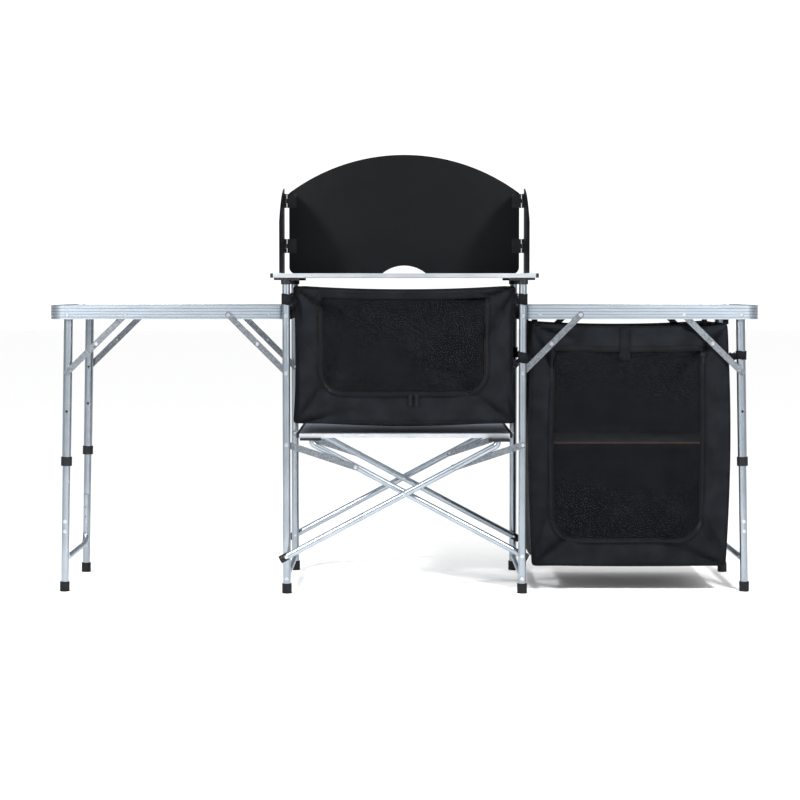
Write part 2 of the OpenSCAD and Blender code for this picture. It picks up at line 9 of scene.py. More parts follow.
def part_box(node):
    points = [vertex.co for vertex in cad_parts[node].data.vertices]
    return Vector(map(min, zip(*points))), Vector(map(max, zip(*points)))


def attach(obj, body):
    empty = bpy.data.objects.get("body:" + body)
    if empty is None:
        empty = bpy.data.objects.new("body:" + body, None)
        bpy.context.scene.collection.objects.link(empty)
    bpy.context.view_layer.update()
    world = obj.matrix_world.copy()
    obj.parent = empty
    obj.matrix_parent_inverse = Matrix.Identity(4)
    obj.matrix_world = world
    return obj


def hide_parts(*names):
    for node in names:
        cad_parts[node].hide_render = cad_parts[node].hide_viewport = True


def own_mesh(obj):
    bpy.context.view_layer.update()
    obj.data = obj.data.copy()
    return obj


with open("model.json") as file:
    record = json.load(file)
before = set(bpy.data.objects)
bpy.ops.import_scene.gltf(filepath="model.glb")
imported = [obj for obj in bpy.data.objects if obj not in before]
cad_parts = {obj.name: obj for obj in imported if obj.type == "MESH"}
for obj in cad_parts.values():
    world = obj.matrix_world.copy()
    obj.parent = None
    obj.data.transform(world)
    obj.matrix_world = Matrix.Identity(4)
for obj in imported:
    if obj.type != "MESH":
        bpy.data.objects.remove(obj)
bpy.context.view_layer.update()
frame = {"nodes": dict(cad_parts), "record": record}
NODES = frame["nodes"]
MM = 0.001


# ---- Camera, floor and light ----

CAMERA_AT = Vector((-0.011, -5.41, 0.755))
CAMERA_TILT = math.radians(86.9)
CAMERA_LENS = 96.0


def make_camera():
    data = bpy.data.cameras.new("camera")
    data.lens = CAMERA_LENS
    data.sensor_width = 36.0
    camera = bpy.data.objects.new("camera", data)
    camera.location = CAMERA_AT
    camera.rotation_euler = (CAMERA_TILT, 0.0, 0.0)
    bpy.context.scene.collection.objects.link(camera)
    bpy.context.scene.camera = camera


def area_light(name, at, target, size, power):
    data = bpy.data.lights.new(name, "AREA")
    data.size = size
    data.energy = power
    light = bpy.data.objects.new(name, data)
    light.location = at
    aim = Vector(target) - Vector(at)
    light.rotation_euler = aim.to_track_quat("-Z", "Y").to_euler()
    bpy.context.scene.collection.objects.link(light)


WHITE = (1.13, 1.13, 1.13, 1.0)
# what shows in reflections, as (how far to the side, colour)
REFLECTED_MIDDLE = (0.12, (0.20, 0.22, 0.26, 1.0))
REFLECTED_SOFTBOX = (0.42, (0.90, 0.92, 0.95, 1.0))
REFLECTED_SIDE = (0.92, (0.05, 0.06, 0.08, 1.0))
# the Mix node has sockets of every type, and its colours can only be told apart by place
MIX_COLOUR_A, MIX_COLOUR_B, MIX_COLOUR = 6, 7, 2


def make_world():
    """A white studio whose reflections have softboxes left and right of a dimmer middle."""
    world = bpy.data.worlds.new("studio")
    bpy.context.scene.world = world
    world.use_nodes = True
    tree = world.node_tree
    background = tree.nodes["Background"]
    background.inputs["Strength"].default_value = 1.0
    coords = tree.nodes.new("ShaderNodeTexCoord")
    parts = tree.nodes.new("ShaderNodeSeparateXYZ")
    sideways = tree.nodes.new("ShaderNodeMath")
    sideways.operation = "ABSOLUTE"
    ramp = tree.nodes.new("ShaderNodeValToRGB")
    stops = ramp.color_ramp.elements
    stops[0].position, stops[0].color = REFLECTED_MIDDLE
    stops[1].position, stops[1].color = REFLECTED_SIDE
    stops.new(REFLECTED_SOFTBOX[0]).color = REFLECTED_SOFTBOX[1]
    tree.links.new(coords.outputs["Generated"], parts.inputs["Vector"])
    tree.links.new(parts.outputs["X"], sideways.inputs[0])
    tree.links.new(sideways.outputs["Value"], ramp.inputs["Fac"])
    ray = tree.nodes.new("ShaderNodeLightPath")
    mix = tree.nodes.new("ShaderNodeMix")
    mix.data_type = "RGBA"
    tree.links.new(ray.outputs["Is Glossy Ray"], mix.inputs["Factor"])
    mix.inputs[MIX_COLOUR_A].default_value = WHITE
    tree.links.new(ramp.outputs["Color"], mix.inputs[MIX_COLOUR_B])
    tree.links.new(mix.outputs[MIX_COLOUR], background.inputs["Color"])


KEY_AT = Vector((1.15, -1.35, 1.40))
KEY_AIM = (0.0, 0.1, 0.75)
KEY_SIZE = 0.22
FLOOR_SIZE = 60.0
FLOOR_DROP = 0.5 * MM


def make_studio():
    make_world()
    bpy.context.scene.view_settings.view_transform = "Standard"
    area_light("left_key", KEY_AT * Vector((-1, 1, 1)), KEY_AIM, KEY_SIZE, 44.0)
    area_light("right_key", KEY_AT, KEY_AIM, KEY_SIZE, 40.0)
    area_light("top", (0.0, -0.4, 3.8), (0.0, 0.0, 0.6), 3.0, 30.0)
    bpy.ops.mesh.primitive_plane_add(size=FLOOR_SIZE, location=(0.0, 0.0, -FLOOR_DROP))
    floor = bpy.context.object
    floor.name = "floor"
    floor.data.materials.append(FLOOR)


# ---- Materials ----

GROOVE_EDGE = -0.72      # a groove is where the sine is below this
METAL_ROUGH = (0.24, 0.40)
BOARD_GRAIN, MOULDED_GRAIN = 1400.0, 1100.0
CLOTH_ROUGH = (0.62, 0.86)
CLOTH_GLOSS = 0.09


class Nodes:
    """A short way to build a Principled material from object coordinates."""

    def __init__(self, name, **constants):
        self.material = bpy.data.materials.new(name)
        self.material.use_nodes = True
        self.tree = self.material.node_tree
        self.shader = self.tree.nodes["Principled BSDF"]
        for socket, value in constants.items():
            self.shader.inputs[socket.replace("_", " ")].default_value = value
        self.coords = self.add("ShaderNodeTexCoord").outputs["Object"]
        self.bump_out = None

    def add(self, kind, **settings):
        node = self.tree.nodes.new(kind)
        for key, value in settings.items():
            setattr(node, key, value)
        return node

    def link(self, a, b):
        self.tree.links.new(a, b)

    def stretched(self, scale):
        mapping = self.add("ShaderNodeMapping")
        mapping.inputs["Scale"].default_value = scale
        self.link(self.coords, mapping.inputs["Vector"])
        return mapping.outputs["Vector"]

    def noise(self, scale, stretch=(1, 1, 1), detail=4.0):
        texture = self.add("ShaderNodeTexNoise")
        texture.inputs["Scale"].default_value = scale
        texture.inputs["Detail"].default_value = detail
        self.link(self.stretched(stretch), texture.inputs["Vector"])
        return texture.outputs["Fac"]

    def cells(self, scale):
        texture = self.add("ShaderNodeTexVoronoi")
        texture.inputs["Scale"].default_value = scale
        self.link(self.coords, texture.inputs["Vector"])
        return texture.outputs["Color"]

    def threads(self, period, direction):
        """A ridged value that repeats every period along a direction."""
        dot = self.add("ShaderNodeVectorMath", operation="DOT_PRODUCT")
        dot.inputs[1].default_value = Vector(direction) * (2 * math.pi / period)
        self.link(self.coords, dot.inputs[0])
        sine = self.add("ShaderNodeMath", operation="SINE")
        self.link(dot.outputs["Value"], sine.inputs[0])
        return sine.outputs["Value"]

    def narrow(self, ridges):
        """Turns a sine into thin grooves: 0 at its lowest part and 1 elsewhere."""
        span = self.add("ShaderNodeMapRange")
        span.inputs["From Min"].default_value = -1.0
        span.inputs["From Max"].default_value = GROOVE_EDGE
        self.link(ridges, span.inputs["Value"])
        return span.outputs["Result"]

    def times(self, a, b):
        node = self.add("ShaderNodeMath", operation="MULTIPLY")
        self.link(a, node.inputs[0])
        self.link(b, node.inputs[1])
        return node.outputs["Value"]

    def colour(self, fac, dark, light, low=0.3, high=0.7):
        ramp = self.add("ShaderNodeValToRGB")
        ends = ramp.color_ramp.elements
        ends[0].position, ends[0].color = low, (*dark, 1.0)
        ends[1].position, ends[1].color = high, (*light, 1.0)
        self.link(fac, ramp.inputs["Fac"])
        self.link(ramp.outputs["Color"], self.shader.inputs["Base Color"])

    def roughness(self, fac, low, high):
        span = self.add("ShaderNodeMapRange")
        span.inputs["To Min"].default_value = low
        span.inputs["To Max"].default_value = high
        self.link(fac, span.inputs["Value"])
        self.link(span.outputs["Result"], self.shader.inputs["Roughness"])

    def bump(self, height, distance, strength=1.0):
        node = self.add("ShaderNodeBump")
        node.inputs["Strength"].default_value = strength
        node.inputs["Distance"].default_value = distance
        self.link(height, node.inputs["Height"])
        if self.bump_out:
            self.link(self.bump_out, node.inputs["Normal"])
        self.bump_out = node.outputs["Normal"]
        self.link(self.bump_out, self.shader.inputs["Normal"])


def drawn_aluminium(name, dark, light, stretch, groove=None):
    """Satin metal streaked along its length, with a level groove every groove if it is given,
    bumped in and painted darker as shade.
    """
    n = Nodes(name, Metallic=1.0)
    streaks = n.noise(900.0, stretch, 3.0)
    if groove:
        groove_shade_and_relief = n.narrow(n.threads(groove, (0.0, 0.0, 1.0)))
        # painted shade: the grooves' colour is darkened to 0.45 of dark to stand in for the shade
        # inside them
        n.colour(groove_shade_and_relief, [0.45 * c for c in dark], light, 0.0, 0.9)
        n.bump(groove_shade_and_relief, 0.10 * MM, 0.25)
    else:
        n.colour(n.noise(14.0), dark, light)
    n.roughness(streaks, *METAL_ROUGH)
    n.bump(streaks, 0.03 * MM, 0.35)
    n.bump(n.noise(60.0), 0.05 * MM, 0.25)
    return n.material


def galvanised(name):
    n = Nodes(name, Metallic=1.0)
    spangle = n.cells(420.0)
    n.colour(spangle, (0.13, 0.145, 0.165), (0.30, 0.325, 0.35), 0.1, 0.9)
    n.roughness(n.noise(200.0), 0.28, 0.46)
    n.bump(n.noise(700.0), 0.03 * MM, 0.3)
    return n.material


def powder_coat(name, dark, light, rough, gloss):
    n = Nodes(name, Specular_IOR_Level=gloss)
    n.colour(n.noise(9.0, detail=6.0), dark, light)
    n.roughness(n.noise(40.0), *rough)
    n.bump(n.noise(BOARD_GRAIN, detail=2.0), 0.05 * MM, 0.5)
    n.bump(n.noise(4.0), 0.3 * MM, 0.10)
    return n.material


def moulded(name, dark, light, rough, gloss=0.5):
    n = Nodes(name, Specular_IOR_Level=gloss)
    n.colour(n.noise(30.0), dark, light)
    n.roughness(n.noise(120.0), *rough)
    n.bump(n.noise(MOULDED_GRAIN), 0.06 * MM, 0.5)
    return n.material


def woven(name, dark, light, period, sheen=0.02, alpha=1.0):
    """Plain-weave cloth: two crossed sets of threads with uneven dye and soft pills."""
    n = Nodes(name, Sheen_Weight=sheen, Sheen_Roughness=0.45, Alpha=alpha,
              Specular_IOR_Level=CLOTH_GLOSS)
    across = n.threads(period, (0.707, 0.707, 0.0))
    along = n.threads(period, (0.0, 0.0, 1.0))
    n.colour(n.noise(22.0, detail=8.0), dark, light, 0.35, 0.7)
    n.roughness(n.noise(160.0), *CLOTH_ROUGH)
    n.bump(n.times(across, along), 0.18 * MM, 0.55)
    n.bump(n.noise(90.0, detail=5.0), 0.5 * MM, 0.3)
    n.bump(n.noise(17.0, detail=3.0), 2.5 * MM, 0.30)
    return n.material


FLOOR = moulded("floor_pale", (0.90, 0.90, 0.90), (0.93, 0.93, 0.93), (0.7, 0.85))
LEG = drawn_aluminium("leg_aluminium", (0.29, 0.33, 0.37), (0.36, 0.40, 0.44), (1, 1, 0.02))
# the rim's level grooves are bumped in and painted darker as shade
RIM = drawn_aluminium("rim_aluminium", (0.40, 0.45, 0.50), (0.48, 0.54, 0.60), (0.02, 0.02, 1),
                      groove=7.2 * MM)
SLAT = drawn_aluminium("slat_aluminium", (0.62, 0.66, 0.70), (0.78, 0.81, 0.84), (0.02, 1, 1))
STRAP = galvanised("galvanised_strap")
RIVET = drawn_aluminium("rivet_steel", (0.50, 0.52, 0.55), (0.68, 0.70, 0.72), (1, 1, 1))
BOARD = powder_coat("table_board", (0.38, 0.40, 0.42), (0.45, 0.47, 0.49), (0.40, 0.55), 0.40)
BOARD_INSIDE = moulded("shelf_board", (0.30, 0.31, 0.34), (0.42, 0.43, 0.46), (0.5, 0.7))
BOARD_EDGE = moulded("shelf_board_edge", (0.70, 0.36, 0.20), (0.85, 0.48, 0.30), (0.5, 0.7))
SHEET = powder_coat("screen_sheet", (0.0005, 0.0007, 0.0011), (0.0010, 0.0014, 0.002), (0.31, 0.34),
                    0.20)
HINGE = moulded("hinge_steel", (0.003, 0.003, 0.004), (0.008, 0.008, 0.010), (0.3, 0.45),
                gloss=0.25)
PLASTIC = moulded("black_plastic", (0.003, 0.003, 0.004), (0.008, 0.008, 0.010), (0.4, 0.6),
                  gloss=0.25)
RUBBER = moulded("foot_rubber", (0.003, 0.003, 0.004), (0.007, 0.007, 0.008), (0.6, 0.8),
                 gloss=0.22)
CLOTH = woven("cupboard_cloth", (0.0022, 0.0030, 0.0042), (0.0055, 0.0068, 0.0090), 1.3 * MM)
NET = woven("window_net", (0.0012, 0.0016, 0.0024), (0.0032, 0.004, 0.0052), 2.4 * MM,
            sheen=0.01, alpha=0.60)
WEBBING = woven("strap_webbing", (0.0018, 0.0022, 0.003), (0.0045, 0.005, 0.0065), 2.2 * MM)
THREAD = woven("stitch_thread", (0.005, 0.006, 0.008), (0.010, 0.011, 0.014), 0.6 * MM)
ZIP = moulded("zip_metal", (0.002, 0.002, 0.003), (0.006, 0.006, 0.007), (0.4, 0.55),
              gloss=0.16)

BY_SLOT = {
    "leg_aluminium": LEG, "rim_aluminium": RIM, "slat_aluminium": SLAT,
    "table_board": BOARD, "galvanised_strap": STRAP, "rivet_steel": RIVET,
    "black_plastic": PLASTIC, "foot_rubber": RUBBER, "screen_sheet": SHEET,
    "hinge_steel": HINGE, "cupboard_cloth": CLOTH, "strap_webbing": WEBBING,
    "zip_metal": ZIP,
}


def paint_cad_nodes():
    for part in frame["record"]["subparts"]:
        mesh = NODES[part["node"]].data
        mesh.materials.clear()
        mesh.materials.append(BY_SLOT[part["material_slot"]])


# ---- Mesh helpers ----

MERGE_DISTANCE = 0.02 * MM
OUT = Vector((0, -1, 0))


def piece(name, verts, faces, material, slot, body, smooth=True):
    """Makes one mesh object that takes its finish from material and moves with body; slot is not
    used.
    """
    mesh = bpy.data.meshes.new(name)
    mesh.from_pydata([tuple(v) for v in verts], [], faces)
    mesh.update()
    mesh.materials.append(material)
    obj = bpy.data.objects.new(name, mesh)
    bpy.context.scene.collection.objects.link(obj)
    skin = bmesh.new()
    skin.from_mesh(mesh)
    bmesh.ops.remove_doubles(skin, verts=skin.verts, dist=MERGE_DISTANCE)
    bmesh.ops.recalc_face_normals(skin, faces=skin.faces)
    skin.to_mesh(mesh)
    skin.free()
    for polygon in mesh.polygons:
        polygon.use_smooth = smooth
    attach(obj, body)
    return obj


def sweep(points, sections, closed):
    """Joins a ring of corners at each point into one skin, capped if it is open."""
    count = len(sections[0])
    verts = [p + c for p, ring in zip(points, sections) for c in ring]
    last = len(points) if closed else len(points) - 1
    faces = []
    for i in range(last):
        a, b = i * count, ((i + 1) % len(points)) * count
        faces += [(a + j, a + (j + 1) % count, b + (j + 1) % count, b + j)
                  for j in range(count)]
    if not closed:
        faces += [tuple(range(count))[::-1],
                  tuple((len(points) - 1) * count + j for j in range(count))]
    return verts, faces


def tangents(points, closed):
    n = len(points)
    if closed:
        return [(points[(i + 1) % n] - points[i - 1]).normalized() for i in range(n)]
    return [(points[min(i + 1, n - 1)] - points[max(i - 1, 0)]).normalized()
            for i in range(n)]


def tube(points, radius, sides=8):
    """A closed round cord whose points run nowhere straight to the front or rear."""
    rings = []
    for t in tangents(points, True):
        side = t.cross(Vector((0, 1, 0))).normalized()
        other = side.cross(t)
        turns = [2 * math.pi * j / sides for j in range(sides)]
        rings.append([radius * (math.cos(a) * side + math.sin(a) * other) for a in turns])
    return sweep(points, rings, True)


def ribbon(points, normals, width, thick, closed=False):
    """A flat band whose broad face looks along the normals."""
    rings = []
    for t, n in zip(tangents(points, closed), normals):
        side = t.cross(n).normalized() * width / 2
        lift = n.normalized() * thick
        rings.append([-side, side, side + lift, -side + lift])
    return sweep(points, rings, closed)


def merged(parts):
    verts, faces = [], []
    for v, f in parts:
        start = len(verts)
        verts += v
        faces += [tuple(i + start for i in face) for face in f]
    return verts, faces


def block(centre, x_axis, y_axis, z_axis):
    """A box from its centre and its three half-length vectors."""
    corners = [(-1, -1, -1), (1, -1, -1), (1, 1, -1), (-1, 1, -1),
               (-1, -1, 1), (1, -1, 1), (1, 1, 1), (-1, 1, 1)]
    verts = [centre + a * x_axis + b * y_axis + c * z_axis for a, b, c in corners]
    faces = [(3, 2, 1, 0), (4, 5, 6, 7), (0, 1, 5, 4), (1, 2, 6, 5), (2, 3, 7, 6), (3, 0, 4, 7)]
    return verts, faces


def solidify(obj, thickness):
    modifier = obj.modifiers.new("thickness", "SOLIDIFY")
    modifier.thickness = thickness
    modifier.offset = -1.0


def soften(obj, width, segments):
    modifier = obj.modifiers.new("soft_edges", "BEVEL")
    modifier.width = width
    modifier.segments = segments


# ---- Cloth cupboards ----

CLOTH_BODY = "centre_frame"
# left, right, bottom and top edge
CENTRE_WINDOW = (-0.210, 0.206, 0.485, 0.733)
RIGHT_WINDOW = (0.359, 0.733, 0.123, 0.602)

EDGE_RADIUS = 10 * MM    # how round the cloth's edges are
FOLD_DEPTH = 13 * MM
FOLDS_PER_TURN = 9
FOLD_NEAR = 0.05         # where a fold is deepest, from its corner
FOLD_REACH = 0.20        # how far a fold runs on
NEAR_LIMIT = 0.4
CELL = 6.5 * MM          # size of the cloth's squares


class Cupboard:
    """A sewn cloth box: how its flat panels hang, and where its window is.

    window is its left, right, bottom and top edge, and corner is the radius of its lower
    corners. sag_top and sag_bottom are how far the middle of the top and bottom hang down.
    slack is how far the panels cave in. belly draws the sides in at their ends, or at their
    middle where it is negative.
    """

    def __init__(self, node, window, corner, sag_top, sag_bottom, slack, belly, seed):
        self.node = node
        self.low, self.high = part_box(node)
        self.centre = (self.low + self.high) / 2
        self.half = (self.high - self.low) / 2
        self.window = window
        self.corner = corner
        self.sag_top, self.sag_bottom = sag_top, sag_bottom
        self.slack, self.belly = slack, belly
        self.seed = seed

    def hang(self, p):
        """Moves a point of the flat box to where the hanging cloth is."""
        core = Vector([max(self.low[i] + EDGE_RADIUS, min(self.high[i] - EDGE_RADIUS, p[i]))
                       for i in range(3)])
        out = p - core
        p = core + out.normalized() * EDGE_RADIUS if out.length > 1e-6 else p.copy()
        # n is the point's place in the box, from -1 to 1 along each axis
        n = Vector([(p[i] - self.centre[i]) / self.half[i] for i in range(3)])
        up = (n.z + 1) / 2
        middle = max(0.0, 1 - n.x * n.x)
        depth = max(0.0, 1 - n.y * n.y)
        p.z -= self.sag_top * middle * up ** 3 * (0.6 + 0.4 * depth)
        p.z -= self.sag_bottom * middle * depth * (1 - up) ** 3
        p.x -= n.x * abs(n.x) * self.drawn_in(up)
        self.cave_in_front(p, n, up, middle)
        wrinkle = noise.noise(Vector((p.y * 9, p.z * 6, self.seed + 9 + n.x)))
        p.x -= n.x * abs(n.x) ** 5 * max(0.0, self.slack * (0.6 + wrinkle)) * depth
        return p

    def cave_in_front(self, p, n, up, middle):
        """Moves a point of the front or rear panel inward, with wrinkles and folds."""
        wrinkle = noise.noise(Vector((p.x * 7, p.z * 5, self.seed + n.y)))
        fine = noise.noise(Vector((p.x * 19, p.z * 16, self.seed + 3 + n.y)))
        inward = self.slack * (0.5 + 0.6 * wrinkle + 0.35 * fine) * math.sin(math.pi * up)
        inward += self.folds(p.x, p.z, n.y)
        p.y -= n.y * abs(n.y) ** 3 * max(0.0, inward) * min(1.0, 3 * middle + 0.1)

    def drawn_in(self, up):
        """How far the sides come in: a waist where belly is negative, else a swollen middle."""
        swell = math.sin(math.pi * up)
        return self.belly * (1 - swell) if self.belly > 0 else -self.belly * swell

    def folds(self, x, z, side):
        """Tension folds that run out of the four corners of a panel."""
        total = 0.0
        for sx in (-1, 1):
            for sz, size in ((1, 1.0), (-1, 0.8)):
                dx = abs(x - (self.centre.x + sx * self.half.x))
                dz = abs(z - (self.centre.z + sz * self.half.z))
                reach = math.hypot(dx, dz)
                angle = math.atan2(dz, dx)
                turn = angle * FOLDS_PER_TURN + sx * 1.3 + sz + side + self.seed
                ridge = 0.5 + 0.5 * math.cos(turn)
                close = reach / FOLD_NEAR
                near = close * math.exp(1 - close) if reach < NEAR_LIMIT else 0.0
                fade = near + 0.8 * math.exp(-reach / FOLD_REACH)
                total += size * FOLD_DEPTH * ridge ** 4 * fade
        return total

    def front(self, x, z, proud=0.0):
        """A point on the hanging front panel, or proud of it."""
        p = self.hang(Vector((x, self.low.y, z)))
        p.y -= proud
        return p

    def window_outline(self, outset=0.0, step=6 * MM):
        """Points down the window's left side, round its lower corners and up the right."""
        x0, x1, z0, z1 = self.window
        x0, x1, z0 = x0 - outset, x1 + outset, z0 - outset
        r = self.corner + outset
        flat = [(x0, z1)]
        for cx, start in ((x0 + r, 180), (x1 - r, 270)):
            for k in range(11):
                a = math.radians(start + 9 * k)
                flat.append((cx + r * math.cos(a), z0 + r + r * math.sin(a)))
        flat.append((x1, z1))
        points = []
        for (xa, za), (xb, zb) in zip(flat, flat[1:]):
            count = max(1, round(math.hypot(xb - xa, zb - za) / step))
            points += [(xa + (xb - xa) * k / count, za + (zb - za) * k / count)
                       for k in range(count)]
        return points + [flat[-1]]

    def half_width_at(self, z):
        """Half the window's width at a height, less where its lower corners are round."""
        x0, x1, z0, _ = self.window
        r = self.corner
        drop = min(r, max(0.0, z0 + r - z))
        return (x1 - x0) / 2 - r + math.sqrt(r * r - drop * drop)

    def inside_window(self, x, z):
        x0, x1, z0, z1 = self.window
        return z0 < z < z1 and abs(x - (x0 + x1) / 2) < self.half_width_at(z)


def panel(cupboard, fixed, value, skip=None):
    """One side of the box as a grid of hanging cloth; fixed is its constant axis."""
    a, b = [i for i in range(3) if i != fixed]
    size = cupboard.high - cupboard.low
    na, nb = (max(4, round(size[i] / CELL)) for i in (a, b))
    verts, faces = [], []
    for j in range(nb + 1):
        for i in range(na + 1):
            p = Vector((0, 0, 0))
            p[fixed] = value
            p[a] = cupboard.low[a] + size[a] * i / na
            p[b] = cupboard.low[b] + size[b] * j / nb
            verts.append(p)
    for j in range(nb):
        for i in range(na):
            k = j * (na + 1) + i
            middle = (verts[k] + verts[k + na + 2]) / 2
            if not (skip and skip(middle.x, middle.z)):
                faces.append((k, k + 1, k + na + 2, k + na + 1))
    return [cupboard.hang(p) for p in verts], faces


def cupboard_shell(c):
    """The six panels sewn together, with the window cut out of the front one."""
    parts = [panel(c, 0, c.low.x), panel(c, 0, c.high.x),
             panel(c, 2, c.low.z), panel(c, 2, c.high.z),
             panel(c, 1, c.high.y), panel(c, 1, c.low.y, c.inside_window)]
    shell = piece(c.node + "_cloth", *merged(parts), CLOTH, "cupboard_cloth", CLOTH_BODY)
    drop_loose(shell)
    solidify(shell, 1.0 * MM)
    return shell


def drop_loose(obj):
    """Deletes the points that the window's cut leaves without faces."""
    clean = bmesh.new()
    clean.from_mesh(obj.data)
    loose = [v for v in clean.verts if not v.link_faces]
    bmesh.ops.delete(clean, geom=loose, context="VERTS")
    clean.to_mesh(obj.data)
    clean.free()


NET_ROW, NET_COLUMN = 8 * MM, 10 * MM
NET_SET_BACK = 0.6 * MM


def cupboard_window(c):
    """The net, as rows that narrow towards the window's lower corners."""
    x0, x1, z0, z1 = c.window
    middle = (x0 + x1) / 2
    rows, columns = round((z1 - z0) / NET_ROW), round((x1 - x0) / NET_COLUMN)
    verts = []
    for j in range(rows + 1):
        z = z0 + (z1 - z0) * j / rows
        half = c.half_width_at(z)
        verts += [c.front(middle + half * (2 * i / columns - 1), z, -NET_SET_BACK)
                  for i in range(columns + 1)]
    faces = [(j * (columns + 1) + i, j * (columns + 1) + i + 1,
              (j + 1) * (columns + 1) + i + 1, (j + 1) * (columns + 1) + i)
             for j in range(rows) for i in range(columns)]
    net = piece(c.node + "_window_net", verts, faces, NET, "cupboard_cloth", CLOTH_BODY)
    solidify(net, 0.4 * MM)
    return net


THREAD_RADIUS = 0.35 * MM


def stitches(points, length=2.6 * MM, every=2):
    """A row of stitches that starts one at every second point, or as every says."""
    parts = []
    for i in range(0, len(points) - 1, every):
        along = (points[i + 1] - points[i]).normalized()
        side = along.cross(OUT).normalized()
        parts.append(block(points[i] + OUT * 0.3 * MM, along * length / 2,
                           side * THREAD_RADIUS, OUT * THREAD_RADIUS))
    return parts


TAPE_W = 15 * MM
HEM_W = 14 * MM
BAND_T = 0.9 * MM
TAPE_T = 0.7 * MM
TAPE_PROUD = 0.4 * MM
HEM_PROUD = 0.8 * MM
TEETH_PROUD = 1.6 * MM
SEAM_PROUD = 1.3 * MM
SEAM_OFFSET = 6.2 * MM
TOOTH_PITCH = 3.0 * MM
STITCH_PITCH = 2.8 * MM
HEM_STEPS = 40


def cupboard_zip(c):
    """The tape, the teeth along its middle and rows of stitching."""
    ring = [c.front(x, z, TAPE_PROUD) for x, z in c.window_outline()]
    x0, x1, _, z1 = c.window
    hem = [c.front(x0 + (x1 - x0) * k / HEM_STEPS, z1, HEM_PROUD)
           for k in range(HEM_STEPS + 1)]
    bands = merged([ribbon(ring, [OUT] * len(ring), TAPE_W, TAPE_T),
                    ribbon(hem, [OUT] * len(hem), HEM_W, BAND_T)])
    tape = piece(c.node + "_zip_tape", *bands, WEBBING, "strap_webbing", CLOTH_BODY)
    teeth_line = [c.front(x, z, TEETH_PROUD) for x, z in c.window_outline(step=TOOTH_PITCH)]
    teeth = []
    for i, p in enumerate(teeth_line[:-1]):
        along = (teeth_line[i + 1] - p).normalized()
        side = along.cross(OUT).normalized()
        reach = 2.6 * MM if i % 2 else 2.0 * MM
        teeth.append(block(p, along * 0.9 * MM, side * reach, OUT * 0.7 * MM))
    coil = piece(c.node + "_zip_teeth", *merged(teeth), ZIP, "zip_metal", CLOTH_BODY, False)
    seams = []
    for outset in (-SEAM_OFFSET, SEAM_OFFSET):
        line = [c.front(x, z, SEAM_PROUD) for x, z in c.window_outline(outset, STITCH_PITCH)]
        seams += stitches(line)
    seams += stitches([p - Vector((0, BAND_T, 5 * MM)) for p in hem], 3 * MM, 1)
    sewn = piece(c.node + "_zip_stitches", *merged(seams), THREAD, "strap_webbing",
                 CLOTH_BODY, False)
    return [tape, coil, sewn]


PIPING_RADIUS = 2.2 * MM
PIPING_STEP = 8 * MM


def cupboard_piping(c):
    """Piped seams round the front and back panels."""
    parts = []
    inset = 3 * MM
    for y in (c.low.y + inset, c.high.y - inset):
        corners = [(c.low.x + inset, c.low.z + inset), (c.high.x - inset, c.low.z + inset),
                   (c.high.x - inset, c.high.z - inset), (c.low.x + inset, c.high.z - inset)]
        line = []
        for (xa, za), (xb, zb) in zip(corners, corners[1:] + corners[:1]):
            count = round(max(abs(xb - xa), abs(zb - za)) / PIPING_STEP)
            line += [c.hang(Vector((xa + (xb - xa) * k / count, y,
                                    za + (zb - za) * k / count))) for k in range(count)]
        parts.append(tube(line, PIPING_RADIUS))
    return [piece(c.node + "_piping", *merged(parts), WEBBING, "strap_webbing", CLOTH_BODY)]


WEBBING_T = 1.4 * MM
BAND_W = 26 * MM
POST_BAND_RADIUS, LEG_BAND_RADIUS = 9.9 * MM, 11.9 * MM
# from the outside of the CAD's straps to the middle of the tube they hold
POST_BAND_HALF, LEG_BAND_HALF = 11.4 * MM, 13.4 * MM
ROLL_STRAP_X = 0.540


def post_loop(x, y, z, radius, width):
    """A webbing band sewn round an upright tube."""
    turns = 28
    points = [Vector((x + radius * math.cos(2 * math.pi * k / turns),
                      y + radius * math.sin(2 * math.pi * k / turns),
                      z + 1.2 * MM * math.sin(4 * math.pi * k / turns))) for k in range(turns)]
    normals = [Vector((p.x - x, p.y - y, 0)) for p in points]
    return ribbon(points, normals, width, WEBBING_T, True)


def tie(start, end, width, droop=4 * MM):
    """A short webbing tie that droops a little between two points."""
    steps = 8
    points = []
    for k in range(steps + 1):
        t = k / steps
        p = start.lerp(end, t)
        p.z -= droop * 4 * t * (1 - t)
        points.append(p)
    return ribbon(points, [Vector((0, -1, 0.05))] * len(points), width, 1.3 * MM)


PULL_TOP = 4.5 * MM
# a pull's blocks in millimetres: forward, down, half width, half depth, half height
SLIDER = (0.0, 0.0, 3.9, 1.1, 4.3)
CROWN = (1.3, 0.0, 1.2, 0.6, 3.4)
TAB = [(0.9, 9.5 + 2.6 * k, 2.0 + 0.25 * k, 0.55, 1.35) for k in range(5)]
# its wire loop in millimetres: forward, down, half width, half height
LOOP = (1.0, 6.0, 3.0, 4.2)
LOOP_TURNS, LOOP_SIDES = 16, 6
WIRE_RADIUS = 0.6 * MM


def pull_block(top, forward, down, half_width, half_depth, half_height):
    return block(top - Vector((0, forward, down)) * MM, Vector((half_width * MM, 0, 0)),
                 Vector((0, half_depth * MM, 0)), Vector((0, 0, half_height * MM)))


def pull_loop(top, forward, down, half_width, half_height):
    turns = [2 * math.pi * k / LOOP_TURNS for k in range(LOOP_TURNS)]
    line = [top + Vector((half_width * math.cos(a), -forward,
                          half_height * math.sin(a) - down)) * MM for a in turns]
    return tube(line, WIRE_RADIUS, LOOP_SIDES)


